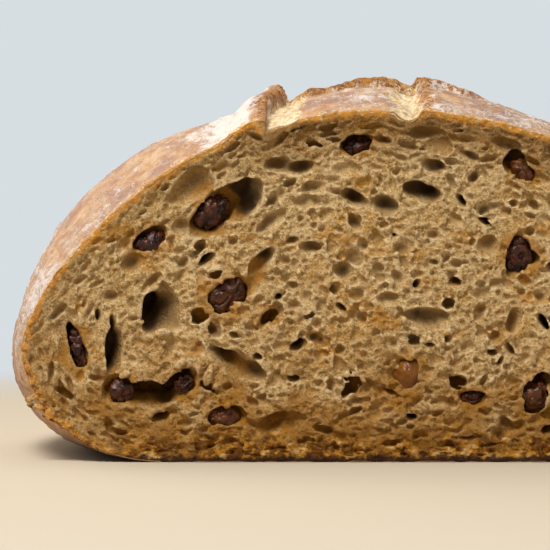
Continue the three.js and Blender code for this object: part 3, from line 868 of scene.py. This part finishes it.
def crumb_solid(settings, crust):
    """Slab of crumb behind the cut face, with its bubbles and the raisins' pockets, and its masks."""
    rng = np.random.default_rng(settings.seed)
    slab = Slab(settings.grain)
    step = slab.step
    skin, _, skin_masks = loaf_skin(crust.score_depth, crust.lip_height, crust.lumps)
    near = slab.level_set(*closed_skin(skin[-NEAR_ROWS:], carried_on=4.0), coarseness=1, band=4.0)
    coarse_skin = skin[::-4, ::4][::-1]
    depth = slab.level_set(*closed_skin(coarse_skin, carried_on=45.0), coarseness=4, band=15.0)

    # Front: torn by the knife, from long drags to pulled crumb
    face = 0.35 * slab.sheet_noise(13.0, rng) + 0.4 * slab.sheet_noise(5.0, rng)
    face += 0.28 * slab.sheet_noise(2.0, rng) + 0.12 * slab.sheet_noise(0.9, rng)
    near_rim = depth[:, [int((slab.face - slab.origin[1]) / step)], :]
    face = ((face + 0.85) * ramp(near_rim, 0.5, 5.0) + 0.25).astype(np.float32)
    rough = 0.55 * slab.noise(2.6, rng) + 0.3 * slab.noise(1.2, rng)
    inset = 1.3 * ramp(slab.inward, 0.6, 2.2) - 0.35
    solid = np.maximum(face - slab.inward, inset - near)
    solid = np.maximum(solid, slab.inward - SLAB_BACK).astype(np.float32)
    inner = 8.0 * ramp(depth, 3.0, 6.0) - 8.0
    warp = 0.3 * slab.noise(4.5, rng)
    pockets = packed_pockets(slab) - tightness(slab) * (1.0 + 2.2 * warp)
    solid = np.maximum(solid, pockets + rough + inner)
    for x, z, long, thick, tilt in LIFTED_CRUST:
        hollow_out(solid, slab, (x, z, long, thick, 5.0, tilt), warp, 0.4 * rough)
    for hollow in HOLLOWS:
        hollow_out(solid, slab, hollow, warp, 0.35 * rough)
    plate = np.maximum(np.maximum(PLATE - slab.inward, slab.inward - SLAB_BACK), 0.95 - near)
    solid = np.minimum(solid, plate).astype(np.float32)
    wobble = slab.noise(2.2, rng) + 0.7 * slab.noise(1.1, rng)
    front = face[:, 0, :]
    counts = (settings.large_bubbles, settings.bubbles, settings.small_bubbles, settings.pores)
    for count, sizes, buried in zip(counts, BUBBLE_RADII, BUBBLES_BURIED):
        carve(solid, depth, front, slab, count, sizes, buried, wobble, rng)
    for flake in FLAKES:
        stick_on(solid, slab, flake, front, rough)
    for crumb in loose_crumbs(settings, skin[-1], rng):
        if rests_on(solid, slab, crumb, front):
            stick_on(solid, slab, crumb, front, rough)

    for axis in range(3):
        side = solid.swapaxes(0, axis)
        side[0] = side[-1] = step
    bread = np.clip(0.5 - solid / step, 0.0, 1.0)
    grid = openvdb.FloatGrid(3.0 * step)
    grid.copyFromArray(np.clip(solid, -3.0 * step, 3.0 * step).astype(np.float32))
    points, triangles, quads = grid.convertToPolygons(0.0, settings.thrift)
    at = tuple(np.clip(np.round(points).astype(int), 0, np.array(slab.shape) - 1).T)
    place = points * step + slab.origin
    around = np.arctan2(place[:, 2] - SHOULDER, place[:, 0] - skin_frame()[0]) % (2.0 * np.pi)
    torn = skin_masks["torn"].reshape(skin.shape[:2])[-1]
    masks = {
        # How far behind the cut face; the crumb material paints shade that deepens with it
        "depth": place[:, 1] - slab.face - 0.9,
        "under": depth[at],
        # ridge: how far a point stands out; the material paints highlight on ridges from it
        "ridge": 1.0 - 2.0 * box_mean(bread, 2)[at],
        # hollow: share of crumb around each point; the material paints shade in hollows from it
        "hollow": 2.0 * box_mean(bread, 6)[at] - 1.0,
        "stain": raisin_stain(place),
        "flank": ramp(skin_frame()[0] - place[:, 0], 20.0, 75.0),
        "torn": np.interp(around, cut_outline(SKIN_COLUMNS), torn),
    }
    order = np.argsort(-place[triangles[:, 0], 1]), np.argsort(-place[quads[:, 0], 1])
    faces = triangles[order[0]].tolist() + quads[order[1]].tolist()
    return inside_box(place), faces, masks


def window_around(slab, centre, span):
    """The part of the slab's block within span of a point, and where its voxels lie from that point."""
    start = np.maximum(np.floor((centre - span - slab.origin) / slab.step).astype(int), 0)
    stop = np.minimum(np.ceil((centre + span - slab.origin) / slab.step).astype(int), slab.shape)
    across, _, up = (np.arange(a, b) * slab.step + low - middle
                     for a, b, low, middle in zip(start, stop, slab.origin, centre))
    return list(map(slice, start, stop)), across[:, None, None], up[None, None, :]


def turned(across, up, tilt):
    """Places along and over a line that is tilted in the cut plane."""
    cos, sin = np.cos(tilt), np.sin(tilt)
    return cos * across + sin * up, cos * up - sin * across


def hollow_out(solid, slab, hollow, warp, rough):
    """Cuts an uneven hollow that opens at the torn front."""
    x, z, long, thick, deep, tilt = hollow
    centre = np.array((x, -CUT, z)) + skin_frame()
    span = np.array((long + 1.5, deep + 2.0, long + 1.5))
    window, across, up = window_around(slab, centre, span)
    along, over = turned(across, up, np.radians(tilt))
    behind = slab.inward[:, window[1]] - 0.9
    over = over - 0.35 * behind  # it runs upwards as it goes in
    away = np.sqrt((along / long) ** 2 + (over / thick) ** 2 + (behind / deep) ** 2)
    window = tuple(window)
    inside = (1.04 - away * (1.0 + warp[window])) * min(thick, deep) + rough[window]
    solid[window] = np.maximum(solid[window], inside.astype(np.float32))


def loose_crumbs(settings, edge, rng):
    """Crumbs and flakes along the cut edge and over the face, at random."""
    rim = edge[rng.integers(0, len(edge), settings.rim_flakes)]
    apart = rng.uniform(-0.7, 0.5, (settings.rim_flakes, 2))
    places = rim[:, (0, 2)] + apart
    low, high = (edge[:, 0].min(), 2.0), (edge[:, 0].max(), edge[:, 2].max())
    spread = rng.uniform(low, high, (settings.face_crumbs, 2))
    places = np.concatenate((places, spread))
    places = places[places[:, 1] > 1.5]  # none right at the base
    sizes = rng.uniform(0.4, 0.8, len(places))
    longer = rng.uniform(1.0, 1.7, len(places))
    return [(x, z, size * more, size, turn) for (x, z), size, more, turn
            in zip(places, sizes, longer, rng.uniform(0.0, 180.0, len(places)))]


def column_of(slab, x, z):
    """Centre of a crumb on the cut plane and its place on the slab's block."""
    centre = np.array((x, -CUT, z)) + skin_frame()
    here = np.round((centre - slab.origin) / slab.step).astype(int)
    return centre, np.clip(here, 0, np.array(slab.shape) - 1)


def rests_on(solid, slab, crumb, front):
    """Whether the crumb would touch the torn front instead of hanging in a hollow or beside the loaf."""
    _, here = column_of(slab, crumb[0], crumb[1])
    filled = solid[here[0], :, here[2]] < 0.0
    surface = slab.inward[0, filled.argmax(), 0]
    return filled.any() and surface < front[here[0], here[2]] + 0.5 * crumb[3]


def stick_on(solid, slab, crumb, front, rough):
    """Adds a small crumb or flake to the torn front."""
    x, z, long, thick, tilt = crumb
    centre, here = column_of(slab, x, z)
    behind = max(front[here[0], here[2]] - 0.2 * thick, 0.8 * thick)
    window, across, up = window_around(slab, centre, np.array((long + 1.0, 0.0, long + 1.0)))
    window[1] = slice(0, int((slab.face - slab.origin[1] + behind + thick + 1.0) / slab.step))
    along, over = turned(across, up, np.radians(tilt))
    back = (slab.inward[:, window[1]] - behind) / thick
    window = tuple(window)
    outside = (np.sqrt((along / long) ** 2 + (over / thick) ** 2 + back ** 2) - 1.0) * thick
    outside = outside + 0.45 * rough[window]
    solid[window] = np.minimum(solid[window], outside.astype(np.float32))


def raisin_stain(place):
    """1 against a raisin and in stained patches, falling to 0 some millimetres away."""
    stain = np.zeros(len(place))
    for name in RAISINS:
        low, high = box_of(name)
        apart = np.linalg.norm((place - 0.5 * (low + high)) / (0.5 * (high - low) + 1.0), axis=1)
        stain = np.maximum(stain, ramp(-apart, -1.75, -1.0))
    for x, z, radius in STAINS:
        centre = np.array((x, z)) + skin_frame()[[0, 2]]
        apart = np.linalg.norm(place[:, (0, 2)] - centre, axis=1)
        stain = np.maximum(stain, ramp(radius - apart, 0.0, 0.7 * radius))
    return stain


# --- Raisins ---

def raisin_form(name, wrinkle, order):
    """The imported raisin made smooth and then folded, with its masks. A paler one stays plumper."""
    amber = AMBER.get(name, 0.0)
    wrinkle = wrinkle * (1.0 - 0.8 * amber)
    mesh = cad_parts[name].data.copy()
    shell = stand("shell", mesh)
    weld = shell.modifiers.new("weld", "WELD")
    weld.merge_threshold = 0.02 * MM
    smooth = shell.modifiers.new("smooth", "SUBSURF")
    smooth.levels = RAISIN_SMOOTHING
    evaluated = shell.evaluated_get(bpy.context.evaluated_depsgraph_get()).to_mesh()
    points = read(evaluated.vertices, "co", kind=float) / MM
    normals = read(evaluated.vertices, "normal", kind=float)
    faces = [tuple(face.vertices) for face in evaluated.polygons]
    bpy.data.objects.remove(shell)
    shift = 13.7 * order
    bent = points + 1.1 * np.stack([noise(points, 3.2, shift + a) for a in range(3)], -1)
    fold = np.clip(1.0 - np.abs(noise(bent, 3.0, shift)) * 2.4, 0.0, 1.0)
    fine = np.clip(1.0 - np.abs(noise(bent, 1.3, shift + 5.0)) * 2.0, 0.0, 1.0)
    dent = 0.5 + 0.5 * noise(points, 5.5, shift + 9.0)
    facing = ramp(-normals[:, 1], 0.0, 0.9)
    sunken = facing * (0.5 + 0.5 * noise(points, 7.0, shift + 3.0))
    folds = 1.1 * fold ** 1.3 + 0.35 * fine + 2.2 * dent ** 1.5 + 1.2 * sunken
    relief = 0.75 + 0.3 * amber - wrinkle * folds
    # fold also marks where the material paints shade in the creases
    masks = {"fold": fold * (1.0 - amber), "amber": np.full(len(points), amber)}
    points = points + normals * relief[:, None]
    points[:, 1] += max(CAD_BOX[0][1] / MM + RAISIN_SET_BACK - points[:, 1].min(), 0.0)
    return points, faces, masks


# --- Settings ---

def tint(name, description, default):
    return FloatVectorProperty(
        name=name, description=description, default=default, subtype="COLOR", size=3, min=0.0, max=1.0)


def measure(name, description, default, **more):
    return FloatProperty(name=name, description=description, default=default, **more)


def tally(name, default, description="Number drawn across the slab"):
    return IntProperty(name=name, description=description, default=default)


class CrustSettings(bpy.types.PropertyGroup):
    score_depth: measure("Score depth", "How deep the torn slashes lie, in mm", 1.6)
    lip_height: measure("Lip height", "How far a slash's lip stands up, in mm", 3.4)
    lumps: measure("Lumps", "Strength of swellings and blisters", 1.0, min=0.0)
    dusting: measure("Flour", "How thick the flour lies", 0.85, subtype="FACTOR")
    baked: tint("Baked", "Well baked crust", (0.44, 0.20, 0.095))
    pale: tint("Pale", "Lightly baked crust", (0.68, 0.44, 0.25))
    mauve: tint("Mauve", "Dull bloom on the crust", (0.31, 0.155, 0.12))
    golden: tint("Golden", "Freckles and chipped edges", (0.58, 0.28, 0.05))
    dark: tint("Dark", "Darkest crust", (0.16, 0.05, 0.012))
    base: tint("Underside", "Well baked underside", (0.20, 0.10, 0.06))
    flour: tint("Flour", "Flour on the crust", (0.84, 0.74, 0.66))
    torn: tint("Torn dough", "Inside of the slashes", (0.88, 0.73, 0.48))
    torn_shade: tint("Torn dough, browned", "Browned threads of the torn dough", (0.64, 0.37, 0.13))
    lip: tint("Lip", "Edge of the lips", (0.50, 0.19, 0.03))


class CrumbSettings(bpy.types.PropertyGroup):
    grain: measure("Mesh step", "Spacing of the crumb's mesh, in mm", 0.46, min=0.3)
    thrift: measure("Thrift", "How far flat areas share faces", 0.04, min=0.0, max=1.0)
    seed: tally("Seed", 5, "Another number gives another crumb")
    large_bubbles: tally("Large bubbles", 170)
    bubbles: tally("Bubbles", 2600)
    small_bubbles: tally("Small bubbles", 7500)
    pores: tally("Pores", 9000)
    rim_flakes: tally("Edge flakes", 60, "Number along the cut edge")
    face_crumbs: tally("Loose crumbs", 420, "Number over the cut face")
    crumb: tint("Crumb", "Crumb", (0.45, 0.245, 0.068))
    pale_crumb: tint("Pale crumb", "Palest crumb", (0.60, 0.39, 0.17))
    grey_crumb: tint("Grey crumb", "Greyish crumb", (0.50, 0.325, 0.135))
    # Pale specks at random, and painted highlight on ridges
    dry_and_ridge_light: tint("Dry edges", "Thin edges between bubbles", (0.79, 0.575, 0.30))
    # Painted shade in the pits and pores that are too fine for the mesh
    shade: tint("Crumb shade", "Moist crumb", (0.27, 0.125, 0.024))
    ochre: tint("Ochre", "Yellowed crumb", (0.47, 0.20, 0.018))
    warm: tint("Warm crumb", "Moist crumb towards the base", (0.32, 0.13, 0.008))
    # Painted shade in the hollows, partly the smooth walls' own tone
    hollow_wall_shade: tint("Hollow walls", "Smooth walls of the hollows", (0.30, 0.165, 0.045))
    # Painted shade deep in bubbles and hollows, not the crumb's own colour
    deep: tint("Bubble walls", "Deep in the bubbles", (0.028, 0.010, 0.002))
    stain: tint("Raisin stain", "Crumb that raisins stained", (0.40, 0.17, 0.018))
    band: tint("Dense crumb", "Dense crumb under the crust", (0.20, 0.078, 0.008))
    crust_line: tint("Crust section", "Crust cut through", (0.68, 0.29, 0.045))
    flake: tint("Crust flakes", "Pale threads and flakes of the cut crust", (0.74, 0.48, 0.20))
    toast: tint("Toasted", "Toasted crumb at the base", (0.11, 0.034, 0.004))
    crust_dark: tint("Crust edge", "Burnt base cut through", (0.03, 0.012, 0.006))


class RaisinSettings(bpy.types.PropertyGroup):
    wrinkle: measure("Wrinkles", "Depth of the folds, in mm", 0.75, min=0.0)
    dark: tint("Dark", "Darkest skin", (0.020, 0.006, 0.0035))
    red: tint("Red", "Skin that light shines through", (0.085, 0.02, 0.007))
    amber: tint("Amber", "Skin of the paler raisins", (0.20, 0.066, 0.003))
    bloom: tint("Bloom", "Greyish bloom on the skin", (0.10, 0.055, 0.05))


class StageSettings(bpy.types.PropertyGroup):
    floor: tint("Floor", "Plain floor", (0.55, 0.46, 0.34))
    backdrop: tint("Backdrop", "Air behind the loaf", (0.68, 0.73, 0.76))
    floor_reach: measure("Floor reach", "Where it meets the air", 0.5, unit="LENGTH")
    air_light: measure("Air light", "Light from all round", 0.24, min=0.0)
    key_power: measure("Key light", "Power of the main light", 14.5, unit="POWER")
    distance: measure("Camera distance", "From the cut face", 0.52, unit="LENGTH")


class LoafSettings(bpy.types.PropertyGroup):
    crust: PointerProperty(type=CrustSettings)
    crumb: PointerProperty(type=CrumbSettings)
    raisins: PointerProperty(type=RaisinSettings)
    stage: PointerProperty(type=StageSettings)


# --- Operators ---

class RAISINLOAF_OT_crust(bpy.types.Operator):
    """Bake the crust with its slashes and flour"""
    bl_idname = "raisin_loaf.crust"
    bl_label = "Crust"

    def execute(self, context):
        look = context.scene.raisin_loaf.crust
        points, faces, masks = crust_solid(look)
        chart = disc_chart((len(points) - 2) // SKIN_COLUMNS, SKIN_COLUMNS)
        crust = new_piece("crust", points, faces, crust_material(look), masks, chart)
        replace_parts(crust, "loaf")
        return {"FINISHED"}


class RAISINLOAF_OT_crumb(bpy.types.Operator):
    """Open the crumb behind the cut face"""
    bl_idname = "raisin_loaf.crumb"
    bl_label = "Crumb"

    def execute(self, context):
        look = context.scene.raisin_loaf.crumb
        points, faces, masks = crumb_solid(look, context.scene.raisin_loaf.crust)
        crumb = new_piece("crumb", points, faces, crumb_material(look), masks, face_chart)
        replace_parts(crumb, "loaf")
        return {"FINISHED"}


class RAISINLOAF_OT_raisins(bpy.types.Operator):
    """Fold the raisins and lay them in their pockets"""
    bl_idname = "raisin_loaf.raisins"
    bl_label = "Raisins"

    def execute(self, context):
        look = context.scene.raisin_loaf.raisins
        skin = raisin_material(look)
        for order, name in enumerate(RAISINS):
            points, faces, masks = raisin_form(name, look.wrinkle, order)
            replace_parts(new_piece("dried_" + name, points, faces, skin, masks), name)
        return {"FINISHED"}


class RAISINLOAF_OT_stage(bpy.types.Operator):
    """Lay the floor and set the lights and the camera"""
    bl_idname = "raisin_loaf.stage"
    bl_label = "Stage"

    def execute(self, context):
        look = context.scene.raisin_loaf.stage
        set_floor(look)
        set_lights(look)
        set_camera(look)
        return {"FINISHED"}


def set_floor(look):
    turn = np.linspace(0.0, 2.0 * np.pi, FLOOR_CORNERS, endpoint=False)
    level = np.full(FLOOR_CORNERS, FLOOR_LEVEL)
    points = np.stack((FLOOR_RADIUS * np.cos(turn), FLOOR_RADIUS * np.sin(turn), level), -1)
    mesh = bpy.data.meshes.new("floor")
    mesh.from_pydata(points.tolist(), [], [tuple(range(FLOOR_CORNERS))])
    floor = stand("floor", mesh)
    n = Nodes("floor_paint")
    far = n.add("VectorMath", {0: n.place}, "Value", operation="LENGTH")
    away = n.between(far, look.floor_reach * 0.4, look.floor_reach)
    black = (0.0, 0.0, 0.0)
    n.put(n.shader.inputs["Emission Color"], n.mix(away, black, look.backdrop))
    n.shader.inputs["Emission Strength"].default_value = 1.0
    n.coat(n.mix(away, look.floor, black))
    mesh.materials.append(n.finish(0.8, n.bump(n.noise(3.0), 0.05, 0.2), shine=0.0))


def set_lights(look):
    """A pale backdrop all round that is seen brighter than it lights, and four soft lights."""
    world = bpy.data.worlds.new("room")
    world.use_nodes = True
    nodes, links = world.node_tree.nodes, world.node_tree.links
    nodes.clear()
    seen, lighting = (nodes.new("ShaderNodeBackground") for _ in range(2))
    for background, strength in ((seen, 1.0), (lighting, look.air_light)):
        background.inputs["Color"].default_value = (*look.backdrop, 1.0)
        background.inputs["Strength"].default_value = strength
    mix = nodes.new("ShaderNodeMixShader")
    links.new(nodes.new("ShaderNodeLightPath").outputs["Is Camera Ray"], mix.inputs["Fac"])
    links.new(lighting.outputs["Background"], mix.inputs[1])
    links.new(seen.outputs["Background"], mix.inputs[2])
    links.new(mix.outputs["Shader"], nodes.new("ShaderNodeOutputWorld").inputs["Surface"])
    bpy.context.scene.world = world
    bpy.context.scene.view_settings.view_transform = "Standard"
    for name, (place, size, share) in LIGHTS.items():
        light = bpy.data.lights.new(name, "AREA")
        light.energy = look.key_power * share
        light.size = size
        lamp = stand(name, light)
        lamp.location = place
        aim = Vector(LIGHTS_AIM) - Vector(place)
        lamp.rotation_euler = aim.to_track_quat("-Z", "Y").to_euler()


def set_camera(look):
    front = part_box("loaf")[0].y
    camera = stand("camera", bpy.data.cameras.new("camera"))
    camera.location = (CAMERA_X, front - look.distance, CAMERA_Z)
    camera.rotation_euler = (np.pi / 2, 0.0, 0.0)
    camera.data.sensor_width = FILM_WIDTH
    camera.data.lens = FILM_WIDTH * look.distance / VIEW_WIDTH
    camera.data.clip_start = 0.01
    bpy.context.scene.camera = camera


class RAISINLOAF_PT_panel(bpy.types.Panel):
    bl_label = "Raisin Loaf"
    bl_space_type = "VIEW_3D"
    bl_region_type = "UI"
    bl_category = "Raisin Loaf"

    def draw(self, context):
        for step in STEPS:
            self.layout.operator(step.bl_idname)


STEPS = (RAISINLOAF_OT_crust, RAISINLOAF_OT_crumb, RAISINLOAF_OT_raisins, RAISINLOAF_OT_stage)
GROUPS = (CrustSettings, CrumbSettings, RaisinSettings, StageSettings, LoafSettings)
CLASSES = (*GROUPS, *STEPS, RAISINLOAF_PT_panel)


def register():
    for kind in CLASSES:
        bpy.utils.register_class(kind)
    bpy.types.Scene.raisin_loaf = PointerProperty(type=LoafSettings)


def unregister():
    del bpy.types.Scene.raisin_loaf
    for kind in reversed(CLASSES):
        bpy.utils.unregister_class(kind)


def main():
    register()
    for step in STEPS:
        group, name = step.bl_idname.split(".")
        getattr(getattr(bpy.ops, group), name)()


if __name__ == "__main__":
    main()
